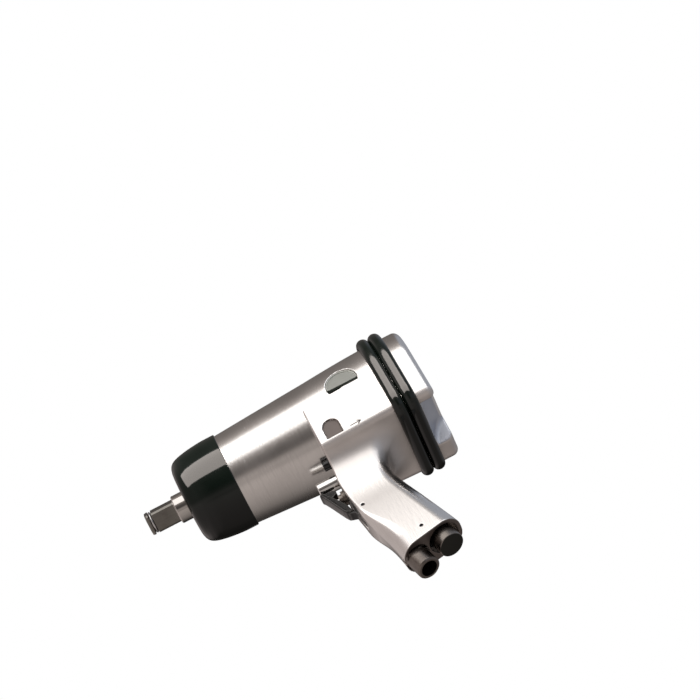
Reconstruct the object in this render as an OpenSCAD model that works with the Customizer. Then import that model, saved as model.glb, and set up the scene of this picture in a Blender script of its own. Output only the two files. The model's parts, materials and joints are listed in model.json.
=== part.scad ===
// Square-drive pneumatic impact wrench, an assembly of separate pieces.
// The drive axis is X: the drive tip is at x = 0 and the tool runs towards +X.
// +Z is up, the pistol handle hangs down, and -Y is the side with the badge.

/* [Drive] */
// Across flats of the square drive
drive_af = 19.05; // [18.6:0.05:19.3]
// Length of the square drive
drive_len = 28; // [24:0.5:29]
// Diameter of the round anvil collar
collar_d = 26.5; // [25.5:0.1:27]
// Turn of the square drive about its axis at rest
drive_turn = 58.7; // [0:0.1:90]

/* [Body] */
// Radius of the aluminium housing just behind the nose boot
body_r_front = 43.5; // [43:0.1:44.5]
// Radius of the aluminium housing at the rear joint
body_r_rear = 52.6; // [52:0.1:54]
// Position of the joint between housing and end cap
joint_x = 248.6; // [246:0.1:250]
// Overall length to the rear face of the end cap
overall_len = 276.9; // [274:0.1:280]
// Radius of the lower corners of the rear housing outline
corner_r = 14; // [11:0.5:16]
// Half distance between the lower corner centres
corner_y = 31; // [29:0.5:33]
// Depth of the lower corner centres below the drive axis
corner_z = 47; // [45:0.5:49]
// Front face of the handle block
block_x = 167.8; // [165:0.1:169]

/* [Nose boot] */
// Front face of the nose boot
boot_x = 39.1; // [38.6:0.1:39.8]
// Rear edge of the nose boot
boot_end = 87.8; // [86:0.1:88]
// Largest radius of the nose boot
boot_r = 45; // [44.6:0.1:46]

/* [Bumper rings] */
// Thickness of each bumper ring
ring_d = 10.4; // [9.4:0.1:10.6]
// Height of the ring centre line above the housing outline
ring_rise = 2.4; // [1.5:0.1:3]
// Distance between the two ring centre lines
ring_pitch = 11.5; // [11.2:0.1:12]

/* [Handle] */
// Rake of the handle end face and its fittings
rake = 12.2; // [8:0.1:16]
// Half thickness of the handle
handle_half = 17.3; // [16.5:0.1:18.5]
// Height of the trigger pivot pin below the drive axis
pivot_z = 123.4; // [122:0.1:125]
// Position of the trigger pivot pin along the tool
pivot_x = 175.5; // [174:0.1:177]

/* [Fittings] */
// Outer diameter of the air inlet bushing
inlet_d = 20.8; // [20:0.1:21.4]
// Tapping diameter of the air inlet thread
inlet_bore = 14.95; // [14.5:0.05:15.4]
// Outer diameter of the exhaust deflector
exhaust_d = 22.7; // [22:0.1:23]
// Diameter of the reverse valve
reverse_d = 13.5; // [13:0.1:14]
// Length of the reverse valve ahead of the block face
reverse_out = 20; // [18:0.5:21]
// Stroke of the reverse valve
reverse_stroke = 12; // [8:0.5:13]

/* [Hidden] */
$fn = 64;
run = 0.05;
big = 200;

collar_r = collar_d / 2;
ring_seat = 0.8;

// Frames -------------------------------------------------------------------

// Children drawn in (y, z) and extruded along x
module on_x(x = 0) {
    translate([x, 0, 0])
        rotate([90, 0, 90])
            children();
}

// Round bar along x
module bar(x0, x1, r) {
    on_x(x0)
        cylinder(r = r, h = x1 - x0);
}

// Round tube along x
module tube(x0, x1, r, hole) {
    on_x(x0)
        linear_extrude(x1 - x0)
            difference() {
                circle(r);
                circle(hole);
            }
}

// Bar between two points of the middle plane
module link(p, q, r) {
    translate([p[0], 0, p[1]])
        rotate([0, atan2(q[0] - p[0], q[1] - p[1]), 0])
            cylinder(r = r, h = norm(q - p));
}

// Bar across the tool, centred on the middle plane
module cross(x, z, r, len) {
    translate([x, 0, z])
        rotate([90, 0, 0])
            cylinder(r = r, h = len, center = true);
}

// Frame of the handle end face: x rearward along the face, z up the handle
end_x = 209.88;
end_z = -190.24;
module at_end(a = 0, c = 0) {
    translate([end_x, 0, end_z])
        rotate([0, -rake, 0])
            translate([a, 0, c])
                children();
}

// Outline of the rear housing: round top, sloping sides, rounded lower corners
module rear_outline(grow = 0) {
    hull()
        outline_circles(grow);
}

module outline_circles(grow) {
    circle(body_r_rear + grow, $fn = 96);
    for (s = [-1, 1])
        translate([s * corner_y, -corner_z])
            circle(corner_r + grow, $fn = 32);
}

// Solid disc with the rear outline and a half-round rim
module rim_disc(x, rise, r) {
    hull()
        for (t = [-90:22.5:90])
            on_x(x + (r - 0.02) * sin(t) - 0.01)
                linear_extrude(0.02)
                    outline_circles(rise + r * cos(t));
}

// Bumper ring: half-round outside, flat where it sits in its groove
module outline_ring(x, rise, r) {
    difference() {
        rim_disc(x, rise, r);
        on_x(x - r - 1)
            linear_extrude(2 * r + 2)
                rear_outline(rise - ring_seat * r);
    }
}

// Children moved to a screw position around the drive axis
module screw_at(t) {
    rotate([t, 0, 0])
        translate([0, screw_ring, 0])
            children();
}

ring_mid = joint_x + 0.85;
ring_x_front = ring_mid - ring_pitch / 2;
ring_x_rear = ring_mid + ring_pitch / 2;

// Housing ------------------------------------------------------------------

chamber_r = 38;
chamber_x0 = 66;
motor_r = 42.3;
motor_x0 = 137.5;
bushing_r = 17;
nose_x = 42;
boot_step = 0.7;
valve_z = -88;
valve_r = 7;
reverse_z = -65;
reverse_x1 = 214;
sleeve_r = 8.2;
inlet_a = -15.2;
exhaust_a = 12.7;
exhaust_bore_r = 14.2;
hex_af = 19.6;
hex_pocket_r = 11.7;
hex_depth = 6;
inlet_thread_r = 8.3;
inlet_thread_top = 19;
pin_r = 1.5;
keeper_a = 2.3;
keeper_c = 11.2;
oil_y = -11.7;
oil_z = -52.5;
screw_ring = 47;
screw_r = 3;
screw_angles = [47, 133, 229, 311];
chamber_end = 191;
port_x = 174.8;
port_r = 3.2;
motor_ports = [184, 196];
oil_r = 2.6;
oil_head_r = 4.6;
oil_head_len = 6.4;
passage_low_x = 191;
passage_low_z = -176;
passage_top_x = 185.6;
passage_r = 4.2;
exhaust_depth = 23;
exhaust_pass_r = 7.5;
exhaust_pass_len = 91;
badge_x = 210;
badge_r = 15;
badge_top = 8.7;
badge_low = -11.6;
slot_half = 5.2;

module barrel_profile() {
    polygon([
        [0, nose_x],
        [34.5, nose_x],
        [37.5, nose_x + 3],
        [38.7, 49],
        [40.2, 56],
        [41.9, 67],
        [body_r_front - boot_step, 80],
        [body_r_front - boot_step, boot_end + 0.1],
        [body_r_front, boot_end + 0.1],
        [46.7, 141],
        [49, 179],
        [51.3, 212],
        [52.1, 229],
        [body_r_rear, joint_x],
        [0, joint_x]
    ]);
}

// Thin slice of the lower housing body
module body_slice(x, r, y, z, cr) {
    on_x(x)
        linear_extrude(0.1) {
            circle(r, $fn = 96);
            for (s = [-1, 1])
                translate([s * y, -z])
                    circle(cr, $fn = 32);
        }
}

// Handle sections in the end face frame:
// front edge, rear edge, half width, front corner radius, rear corner radius, height
handle_top = [-22.9, 20.8, handle_half + 0.6, 3, 14, 99];
handle_waist = [-26.6, 25, handle_half, 6, 15, 64];
handle_foot = [-27.8, 30.4, handle_half, 15.5, 15.5, 0];
slice_t = 0.1;

// Four round corners of a handle section
module handle_slice(sec) {
    for (s = [-1, 1]) {
        at_end(sec[0] + sec[3], sec[5])
            translate([0, s * (sec[2] - sec[3]), 0])
                cylinder(r = sec[3], h = slice_t, $fn = 48);
        at_end(sec[1] - sec[4], sec[5])
            translate([0, s * (sec[2] - sec[4]), 0])
                cylinder(r = sec[4], h = slice_t, $fn = 48);
    }
}

module housing_outside() {
    on_x(0)
        rotate_extrude($fn = 128)
            barrel_profile();
    hull() {
        body_slice(block_x, 47, 28.5, 46.5, 13);
        body_slice(joint_x - 0.1, body_r_rear - 0.7, corner_y, corner_z, corner_r);
    }
    hull() {
        saddle_slice(saddle_high);
        saddle_slice(saddle_low);
    }
    hull() {
        saddle_slice(saddle_low);
        handle_slice(handle_top);
    }
    hull() {
        handle_slice(handle_top);
        handle_slice(handle_waist);
    }
    hull() {
        handle_slice(handle_waist);
        handle_slice(handle_foot);
    }
}

// Saddle sections between block and handle: height, rear edge, half width
saddle_high = [-50, 234, 37];
saddle_low = [-65, 224, 27];
saddle_front_r = 2;
saddle_rear_r = 12;

module saddle_slice(sec) {
    for (s = [-1, 1]) {
        translate([block_x + saddle_front_r, s * (sec[2] - saddle_front_r), sec[0]])
            cylinder(r = saddle_front_r, h = slice_t, $fn = 32);
        translate([sec[1] - saddle_rear_r, s * (sec[2] - saddle_rear_r), sec[0]])
            cylinder(r = saddle_rear_r, h = slice_t, $fn = 48);
    }
}

// Round-topped prism with a straight lower edge, pointing out of the -Y side
module badge_shape(grow, y0, y1) {
    translate([badge_x, -y0, 0])
        rotate([90, 0, 0])
            linear_extrude(y1 - y0)
                intersection() {
                    translate([0, badge_top - badge_r])
                        circle(badge_r + grow, $fn = 96);
                    translate([-badge_r - 1, badge_low - grow])
                        square([2 * badge_r + 2, 2 * badge_r + 2]);
                }
}

arch_x = 183.3;
arch_half = 7.8;
arch_long = 9.6;
arch_tilt = 14.5;
arch_y = -40.05;
arch_z = -44.9;
badge_floor = 48.4;
exhaust_turn_x = 204;
exhaust_port_y = 12;

module housing() {
    color([0.78, 0.77, 0.75])
        difference() {
            housing_outside();
            bar(nose_x - 1, chamber_x0 + 1, bushing_r);
            bar(chamber_x0, motor_x0 + 1, chamber_r);
            bar(motor_x0, joint_x + 1, motor_r);
            outline_ring(ring_x_front, ring_rise, ring_d / 2);
            for (t = screw_angles)
                screw_at(t)
                    bar(joint_x - 18, joint_x + 1, screw_r);
            badge_shape(0.1, badge_floor, badge_floor + 6);
            // arched recess in the block side
            translate([arch_x, arch_y, arch_z])
                rotate([90 + arch_tilt, 0, 0])
                    linear_extrude(8) {
                        translate([0, arch_long - arch_half])
                            circle(arch_half);
                        translate([-arch_half, -arch_long])
                            square([2 * arch_half, 2 * arch_long - arch_half]);
                    }
            // throttle bore, reverse valve bore and the ports between them
            translate([0, 0, valve_z])
                bar(160, chamber_end, valve_r);
            translate([0, 0, reverse_z])
                bar(160, reverse_x1, sleeve_r);
            link([port_x, valve_z], [port_x, reverse_z], port_r);
            for (x = motor_ports)
                link([x, reverse_z], [x, -motor_r + 2], port_r);
            // oil chamber behind the plug
            translate([0, oil_y, oil_z])
                bar(160, 186, oil_r);
            // trigger slot and pivot pin hole
            translate([160, -slot_half, -132.5])
                cube([pivot_x + 7 - 160, 2 * slot_half, 24]);
            cross(pivot_x, -pivot_z, pin_r, 60);
            // air inlet
            at_end(inlet_a, -1)
                cylinder(r = hex_pocket_r, h = hex_depth + 1);
            at_end(inlet_a, 0)
                cylinder(r = inlet_thread_r + run, h = inlet_thread_top + 2);
            link([passage_low_x, passage_low_z], [passage_top_x, valve_z], passage_r);
            // exhaust
            at_end(exhaust_a, -1)
                cylinder(r = exhaust_bore_r, h = exhaust_depth + 1);
            at_end(exhaust_a, 0)
                cylinder(r = exhaust_pass_r, h = exhaust_pass_len);
            for (s = [-1, 1])
                translate([exhaust_turn_x, s * exhaust_port_y, -103])
                    cylinder(r = port_r, h = 103 - motor_r + 6);
            at_end(keeper_a, keeper_c)
                rotate([90, 0, 0])
                    cylinder(r = pin_r, h = 60, center = true);
        }
}
housing();

module badge_plate() {
    color([0.55, 0.57, 0.56])
        difference() {
            badge_shape(-0.1, badge_floor + 0.02, badge_floor + 1.4);
            badge_shape(-1.4, badge_floor + 0.9, badge_floor + 2);
        }
}
badge_plate();

// Nose boot ----------------------------------------------------------------

module nose_boot() {
    color([0.05, 0.06, 0.05])
        on_x(0)
            rotate_extrude($fn = 128)
                difference() {
                    polygon([
                        [collar_r + 0.4, boot_x],
                        [27, boot_x],
                        [33, boot_x + 0.9],
                        [36.6, boot_x + 2.8],
                        [39.2, boot_x + 5.6],
                        [41.2, boot_x + 10],
                        [boot_r - 2.4, boot_x + 17],
                        [boot_r - 0.7, boot_x + 28],
                        [boot_r, boot_x + 39],
                        [boot_r, boot_end - 0.6],
                        [boot_r - 0.6, boot_end],
                        [collar_r + 0.4, boot_end]
                    ]);
                    barrel_profile();
                }
}
nose_boot();

// Anvil --------------------------------------------------------------------

module nose_bushing() {
    color([0.72, 0.5, 0.25])
        tube(nose_x + 0.5, 64, bushing_r, collar_r + run);
}
nose_bushing();

ring_groove_x = 4.6;
ring_groove_w = 3.2;
groove_r = 6.6;
corner_round_r = 12.3;
tip_chamfer = 1.6;
flange_r = 19;
anvil_r = 12;
jaw_r = 17;
jaw_half = 4;
front_jaw_x = 76;
rear_jaw_x = 102;
jaw_len = 17;
tail_r = 8;

module anvil() {
    color([0.42, 0.39, 0.36]) {
        rotate([drive_turn, 0, 0]) {
            difference() {
                intersection() {
                    translate([0, -drive_af / 2, -drive_af / 2])
                        cube([drive_len + 0.5, drive_af, drive_af]);
                    on_x(0)
                        rotate_extrude()
                            polygon([
                                [0, 0],
                                [corner_round_r - tip_chamfer, 0],
                                [corner_round_r, tip_chamfer],
                                [corner_round_r, drive_len + 1],
                                [0, drive_len + 1]
                            ]);
                }
                tube(ring_groove_x - ring_groove_w / 2, ring_groove_x + ring_groove_w / 2, 20, groove_r);
            }
            // impact jaws, one for each hammer
            for (k = [0, 1])
                rotate([180 * k, 0, 0])
                    translate([k == 0 ? front_jaw_x : rear_jaw_x, 0, -jaw_half])
                        intersection() {
                            cube([jaw_len, jaw_r + 1, 2 * jaw_half]);
                            translate([0, 0, jaw_half])
                                bar(0, jaw_len, jaw_r);
                        }
        }
        on_x(0)
            rotate_extrude()
                polygon([
                    [0, drive_len],
                    [collar_r - 0.8, drive_len],
                    [collar_r, drive_len + 0.8],
                    [collar_r, 66.3],
                    [flange_r, 66.3],
                    [flange_r, 70],
                    [anvil_r, 70],
                    [anvil_r, cage_rear_x - 0.3],
                    [tail_r, cage_rear_x - 0.3],
                    [tail_r, 129.8],
                    [0, 129.8]
                ]);
    }
}
anvil();

module torus(x, path_r, r) {
    on_x(x)
        rotate_extrude($fn = 96)
            translate([path_r, 0])
                circle(r, $fn = 32);
}

module socket_retaining_ring() {
    color([0.6, 0.6, 0.6])
        difference() {
            torus(ring_groove_x, 9.1, 1);
            rotate([drive_turn + 20, 0, 0])
                translate([ring_groove_x - 2, 0, -0.8])
                    cube([4, 14, 1.6]);
        }
}
socket_retaining_ring();

module ring_backing_o_ring() {
    color([0.1, 0.1, 0.1])
        torus(ring_groove_x, groove_r + 0.74, 0.7);
}
ring_backing_o_ring();

// Hammer mechanism -----------------------------------------------------------

cage_r = 36.5;
cage_bar_in = 32;
hammer_r = 29.6;
hammer_hole = 18.4;
hammer_pin_y = 29.5;
hammer_pin_r = 3.5;
cage_front_x = 71.2;
cage_mid_x = 95.2;
cage_rear_x = 121.2;
cage_end_x = 136;
plate_t = 4;

module hammer_cage() {
    color([0.45, 0.43, 0.42])
        difference() {
            union() {
                tube(cage_front_x, cage_front_x + plate_t, cage_r, anvil_r + 0.6);
                tube(cage_mid_x, cage_mid_x + plate_t, cage_r, jaw_r + 1.5);
                tube(cage_rear_x, cage_end_x, cage_r, tail_r + run);
                intersection() {
                    tube(cage_front_x, cage_end_x, cage_r, cage_bar_in);
                    translate([cage_front_x, -15, -50])
                        cube([cage_end_x - cage_front_x, 30, 100]);
                }
            }
            for (s = [-1, 1])
                translate([0, s * hammer_pin_y, 0])
                    bar(cage_front_x - 1, cage_rear_x + 8, hammer_pin_r);
            // driving hexagon of the rotor shaft
            on_x(131)
                cylinder(r = drive_hex_r + run, h = 6, $fn = 6);
        }
}
drive_hex_r = 8.4;
hammer_cage();

module hammer_pins() {
    color([0.65, 0.65, 0.66])
        for (s = [-1, 1])
            translate([0, s * hammer_pin_y, 0])
                bar(cage_front_x + 0.2, cage_rear_x + 7.8, hammer_pin_r);
}
hammer_pins();

// Rocking hammer hung on the pin at y = side * hammer_pin_y
module hammer(x0, x1, side) {
    color([0.5, 0.47, 0.45])
        mirror([0, side < 0 ? 1 : 0, 0])
            on_x(x0)
                linear_extrude(x1 - x0)
                    difference() {
                        union() {
                            circle(hammer_r, $fn = 96);
                            translate([hammer_pin_y, 0])
                                circle(hammer_pin_r + 3);
                        }
                        difference() {
                            circle(hammer_hole);
                            rotate(150)
                                translate([14.4, -3])
                                    square([8, 6]);
                        }
                        translate([hammer_pin_y, 0])
                            circle(hammer_pin_r + run);
                        translate([-hammer_pin_y - 3, 0])
                            circle(hammer_pin_r + 5.2);
                    }
}

module front_hammer() {
    hammer(cage_front_x + plate_t + 0.3, cage_mid_x - 0.3, 1);
}
front_hammer();

module rear_hammer() {
    hammer(cage_mid_x + plate_t + 0.3, cage_rear_x - 0.3, -1);
}
rear_hammer();

// Air motor ------------------------------------------------------------------

plate_r = 42.2;
front_plate_x0 = 138;
front_plate_x1 = 150;
cylinder_x1 = 226;
rear_plate_x1 = 238;
shaft_r = 8.5;
bearing_r = 17.5;
bearing_w = 9;
rotor_r = 27.5;
bore_shift = 3;
motor_bore = 31;
dowel_z = 37.5;
blade_t = 2.2;
blade_count = 6;

module end_plate(x0, x1, pocket_x, dowel_x, hole) {
    color([0.5, 0.5, 0.5])
        difference() {
            bar(x0, x1, plate_r);
            bar(x0 - 1, x1 + 1, hole);
            bar(pocket_x, pocket_x + bearing_w + 0.5, bearing_r);
            translate([0, 0, dowel_z])
                bar(dowel_x, x1 + 1, 2);
        }
}

module front_end_plate() {
    end_plate(front_plate_x0, front_plate_x1, front_plate_x0 - 0.5, front_plate_x0 + 2, shaft_r + 1);
}
front_end_plate();

module ball_bearing(x0) {
    race_mid = (shaft_r + bearing_r) / 2;
    color([0.7, 0.7, 0.72])
        on_x(x0) {
            for (in_out = [0, 1])
                rotate_extrude($fn = 96)
                    difference() {
                        translate([in_out == 0 ? shaft_r + run : race_mid + 1.2, 0])
                            square([race_mid - 1.2 - shaft_r - run, bearing_w]);
                        translate([race_mid, bearing_w / 2])
                            circle(2.45, $fn = 32);
                    }
            for (k = [0:8])
                rotate([0, 0, 40 * k])
                    translate([race_mid, 0, bearing_w / 2])
                        sphere(2.4, $fn = 32);
        }
}

module front_bearing() {
    ball_bearing(front_plate_x0 - 0.3);
}
front_bearing();

module motor_cylinder() {
    color([0.55, 0.53, 0.5])
        difference() {
            bar(front_plate_x1 + 0.05, cylinder_x1 - 0.05, plate_r);
            translate([0, 0, -bore_shift])
                bar(front_plate_x1, cylinder_x1, motor_bore);
            translate([0, 0, dowel_z])
                bar(front_plate_x1, cylinder_x1, 2);
            for (x = motor_ports)
                translate([x, 0, -motor_r - 2])
                    cylinder(r = port_r, h = 14);
            for (s = [-1, 1])
                translate([exhaust_turn_x, s * exhaust_port_y, -motor_r - 2])
                    cylinder(r = port_r, h = 18);
        }
}
motor_cylinder();

module cylinder_dowel() {
    color([0.7, 0.7, 0.7])
        translate([0, 0, dowel_z])
            bar(front_plate_x0 + 2.2, rear_plate_x1, 2);
}
cylinder_dowel();

module rotor() {
    color([0.6, 0.58, 0.55])
        difference() {
            union() {
                bar(front_plate_x1 + 0.3, cylinder_x1 - 0.3, rotor_r);
                bar(137.2, rear_plate_x1 + 2, shaft_r);
                on_x(131.3)
                    cylinder(r = drive_hex_r, h = 6, $fn = 6);
            }
            for (k = [0:blade_count - 1])
                rotate([360 / blade_count * k, 0, 0])
                    translate([front_plate_x1, 13, -blade_t / 2 - run])
                        cube([cylinder_x1 - front_plate_x1, rotor_r, blade_t + 2 * run]);
        }
}
rotor();

module rotor_blades() {
    color([0.45, 0.3, 0.18])
        for (k = [0:blade_count - 1])
            rotate([360 / blade_count * k, 0, 0])
                translate([front_plate_x1 + 0.4, 13.1, -blade_t / 2])
                    cube([cylinder_x1 - front_plate_x1 - 0.8, 13.9, blade_t]);
}
rotor_blades();

module rear_end_plate() {
    end_plate(cylinder_x1, rear_plate_x1, rear_plate_x1 - bearing_w, cylinder_x1 - 1, shaft_r + 1);
}
rear_end_plate();

module rear_bearing() {
    ball_bearing(rear_plate_x1 - bearing_w + 0.02);
}
rear_bearing();

// End cap --------------------------------------------------------------------

gasket_t = 0.4;
gasket_inset = 2.2;
cap_x = joint_x + gasket_t;
scoop_half = 21;
scoop_x = 291;
scoop_z = 68;
scoop_r = 32;

module rear_gasket() {
    color([0.3, 0.28, 0.25])
        on_x(joint_x)
            linear_extrude(gasket_t)
                difference() {
                    rear_outline(-gasket_inset);
                    circle(motor_r);
                    for (t = screw_angles)
                        rotate(t)
                            translate([screw_ring, 0])
                                circle(screw_r + 0.2);
                }
}
rear_gasket();

module cap_slice(x, shrink) {
    on_x(x)
        linear_extrude(0.1) {
            circle(body_r_rear - shrink, $fn = 96);
            for (s = [-1, 1])
                translate([s * corner_y, -corner_z])
                    circle(corner_r - shrink, $fn = 32);
        }
}

module end_cap() {
    color([0.78, 0.77, 0.75])
        difference() {
            hull() {
                cap_slice(cap_x, 0);
                cap_slice(overall_len - 8.5, 0.6);
                cap_slice(overall_len - 5.2, 1.6);
                cap_slice(overall_len - 2.3, 3.9);
                cap_slice(overall_len - 0.7, 6.4);
                cap_slice(overall_len - 0.1, 9);
            }
            bar(cap_x - 1, cap_x + 12, motor_r - 1.5);
            outline_ring(ring_x_rear, ring_rise, ring_d / 2);
            for (t = screw_angles)
                screw_at(t) {
                    bar(cap_x - 1, overall_len, screw_r + 0.2);
                    bar(cap_seat_x, overall_len + 1, cap_head_r + 0.4);
                }
            // scoop between the lower corners of the rear face
            intersection() {
                cross(scoop_x, -scoop_z, scoop_r, 60);
                on_x(joint_x)
                    linear_extrude(60)
                        polygon([
                            [-scoop_half + 6, -30],
                            [scoop_half - 6, -30],
                            [scoop_half, -70],
                            [-scoop_half, -70]
                        ]);
            }
        }
}
end_cap();

cap_head_r = 5;
cap_head_len = 6;
washer_t = 1.5;
cap_seat_x = overall_len - 12;

module end_cap_screws() {
    color([0.2, 0.2, 0.2])
        for (t = screw_angles)
            screw_at(t)
                difference() {
                    union() {
                        bar(joint_x - 17.5, cap_seat_x + washer_t, screw_r);
                        bar(cap_seat_x + washer_t, cap_seat_x + washer_t + cap_head_len, cap_head_r);
                    }
                    on_x(cap_seat_x + washer_t + cap_head_len - 3.5)
                        cylinder(r = 2.9, h = 6, $fn = 6);
                }
}
end_cap_screws();

module lock_washers() {
    color([0.6, 0.6, 0.6])
        for (t = screw_angles)
            screw_at(t)
                difference() {
                    tube(cap_seat_x, cap_seat_x + washer_t, cap_head_r, screw_r + run);
                    translate([0, 0, -0.5])
                        cube([2 * overall_len, 10, 1]);
                }
}
lock_washers();

module front_bumper_ring() {
    color([0.06, 0.06, 0.06])
        outline_ring(ring_x_front, ring_rise, ring_d / 2);
}
front_bumper_ring();

module rear_bumper_ring() {
    color([0.06, 0.06, 0.06])
        outline_ring(ring_x_rear, ring_rise, ring_d / 2);
}
rear_bumper_ring();

// Trigger and throttle ---------------------------------------------------------

trigger_half = 6;
trigger_wall = 1;
tongue_half = 4.6;
upper_half = 4.2;
boss_r = 5.2;
stem_r = 2;
stem_tip_x = 154.7;
seat_x = 178;
disc_t = 2.5;
nose_tip_x = 160.4;
flange_x0 = 163.6;
flange_x1 = 165.8;

module trigger_face() {
    polygon([
        [149.4, -75],
        [147.3, -75.4],
        [146.3, -77],
        [148.2, -80.1],
        [151.4, -88.4],
        [154.7, -97.6],
        [158.1, -106.8],
        [160.1, -110.7],
        [162.6, -112.4],
        [164.9, -112.6],
        [166.2, -113.6],
        [166.4, -111.4],
        [165, -110.2],
        [163.2, -109.8],
        [161.5, -108.3],
        [160.2, -105.9],
        [157, -96.8],
        [153.7, -87.6],
        [150.5, -79.3]
    ]);
}

module trigger_side() {
    polygon([
        [149.2, -75.4],
        [151.5, -78.5],
        [154.7, -84.3],
        [160, -93.7],
        [163, -100.5],
        [165, -107],
        [166.2, -111.8],
        [164.4, -112],
        [160.8, -110.2],
        [158.8, -106.2],
        [152.1, -87.8],
        [148.6, -78.9]
    ]);
}

module xz_slab(half) {
    rotate([90, 0, 0])
        translate([0, 0, -half])
            linear_extrude(2 * half)
                children();
}

module trigger() {
    color([0.07, 0.07, 0.07])
        difference() {
            union() {
                xz_slab(trigger_half)
                    trigger_face();
                for (s = [-1, 1])
                    translate([0, s * (trigger_half - trigger_wall / 2), 0])
                        xz_slab(trigger_wall / 2)
                            trigger_side();
                xz_slab(tongue_half)
                    union() {
                        polygon([
                            [155.4, -98],
                            [160, -99.5],
                            [164.5, -107.5],
                            [pivot_x - 2, -pivot_z + boss_r - 0.3],
                            [pivot_x, -pivot_z],
                            [pivot_x - 3, -pivot_z - 4.1],
                            [170.3, -126.6],
                            [169.7, -123.6],
                            [168.8, -118.8],
                            [167.2, -115.3],
                            [164.9, -114],
                            [162.6, -113.2],
                            [160.3, -110.6]
                        ]);
                        translate([pivot_x, -pivot_z])
                            circle(boss_r);
                    }
                xz_slab(upper_half)
                    polygon([
                        [148.6, -76],
                        [158.5, -76.2],
                        [161.2, -79],
                        [160.8, -81.6],
                        [157, -84.2],
                        [151.6, -85]
                    ]);
            }
            cross(pivot_x, -pivot_z, pin_r + run, 40);
        }
}
trigger();

module trigger_pin() {
    color([0.65, 0.65, 0.66])
        cross(pivot_x, -pivot_z, pin_r, 2 * handle_half - 2.4);
}
trigger_pin();

module throttle_bushing() {
    color([0.72, 0.55, 0.3])
        translate([0, 0, valve_z])
            difference() {
                union() {
                    tube(nose_tip_x, flange_x0, 4.8, stem_r + run);
                    tube(flange_x0, flange_x1, 6.8, stem_r + run);
                    tube(flange_x1, 172, valve_r - 0.02, stem_r + run);
                    tube(172, seat_x - 0.1, valve_r - 0.02, 4.4);
                }
                translate([port_x, 0, -10])
                    cylinder(r = 2.2, h = 20);
            }
}
throttle_bushing();

module throttle_stem() {
    color([0.75, 0.75, 0.76])
        translate([0, 0, valve_z])
            bar(stem_tip_x, seat_x + 4, stem_r);
}
throttle_stem();

module throttle_valve_disc() {
    color([0.15, 0.15, 0.15])
        translate([0, 0, valve_z])
            tube(seat_x, seat_x + disc_t, 5.6, stem_r);
}
throttle_valve_disc();

spring_wire = 0.5;
spring_r = 3.4;
spring_turns = 5;

module throttle_spring() {
    spring_x0 = seat_x + disc_t + 0.3;
    spring_len = chamber_end - 0.3 - spring_x0;
    color([0.7, 0.7, 0.7])
        translate([0, 0, valve_z])
            on_x(spring_x0)
                linear_extrude(spring_len, twist = -360 * spring_turns, slices = 16 * spring_turns, $fn = 8)
                    translate([spring_r, 0])
                        circle(spring_wire, $fn = 8);
}
throttle_spring();

// Reverse valve ------------------------------------------------------------------

valve_rod_r = reverse_d / 2;
sleeve_x0 = block_x + 1;
valve_back = 200;

module reverse_bushing() {
    color([0.6, 0.58, 0.55])
        translate([0, 0, reverse_z])
            difference() {
                tube(sleeve_x0, reverse_x1 - 0.1, sleeve_r - 0.02, valve_rod_r + run);
                for (x = concat([port_x], motor_ports))
                    translate([x, 0, 0])
                        cylinder(r = port_r - 0.4, h = 30, center = true);
            }
}
reverse_bushing();

module reverse_valve() {
    color([0.75, 0.75, 0.76])
        translate([0, 0, reverse_z])
            on_x(0)
                rotate_extrude()
                    polygon([
                        [0, block_x - reverse_out],
                        [valve_rod_r - 0.8, block_x - reverse_out],
                        [valve_rod_r, block_x - reverse_out + 0.8],
                        [valve_rod_r, block_x + 3],
                        [valve_rod_r - 1.5, block_x + 3],
                        [valve_rod_r - 1.5, block_x + 5],
                        [valve_rod_r, block_x + 5],
                        [valve_rod_r, 180],
                        [valve_rod_r - 2.5, 180],
                        [valve_rod_r - 2.5, 192],
                        [valve_rod_r, 192],
                        [valve_rod_r, valve_back],
                        [0, valve_back]
                    ]);
}
reverse_valve();

module reverse_valve_o_ring() {
    color([0.1, 0.1, 0.1])
        translate([0, 0, reverse_z])
            torus(block_x + 4, valve_rod_r - 0.74, 0.74);
}
reverse_valve_o_ring();

// Oil plug -----------------------------------------------------------------------

module oil_plug() {
    color([0.75, 0.75, 0.76])
        translate([0, oil_y, oil_z])
            difference() {
                union() {
                    bar(block_x - oil_head_len, block_x - 0.9, oil_head_r);
                    bar(block_x - 0.9, block_x + 9, oil_r - 0.02);
                }
                translate([block_x - oil_head_len - 1, -6, -0.6])
                    cube([2.5, 12, 1.2]);
            }
}
oil_plug();

module oil_plug_seal() {
    color([0.08, 0.08, 0.08])
        translate([0, oil_y, oil_z])
            tube(block_x - 0.85, block_x - 0.05, oil_head_r + 0.5, oil_r);
}
oil_plug_seal();

// Air inlet ----------------------------------------------------------------------

hex_proud = 1.2;
mouth_c = 18.1;

module inlet_bushing() {
    color([0.38, 0.33, 0.3])
        difference() {
            union() {
                at_end(inlet_a, -hex_proud)
                    cylinder(r = hex_af / 2 / cos(30), h = hex_proud + hex_depth, $fn = 6);
                at_end(inlet_a, 0)
                    cylinder(r = inlet_thread_r, h = inlet_thread_top);
                at_end(inlet_a, -mouth_c)
                    rotate_extrude()
                        polygon([
                            [0, 0],
                            [inlet_d / 2 - 1.2, 0],
                            [inlet_d / 2, 1.2],
                            [inlet_d / 2, mouth_c],
                            [0, mouth_c]
                        ]);
            }
            at_end(inlet_a, -mouth_c - 1)
                cylinder(r = inlet_bore / 2, h = 17);
            at_end(inlet_a, -mouth_c)
                cylinder(r = 5.6, h = mouth_c + inlet_thread_top + 1);
        }
}
inlet_bushing();

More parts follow.
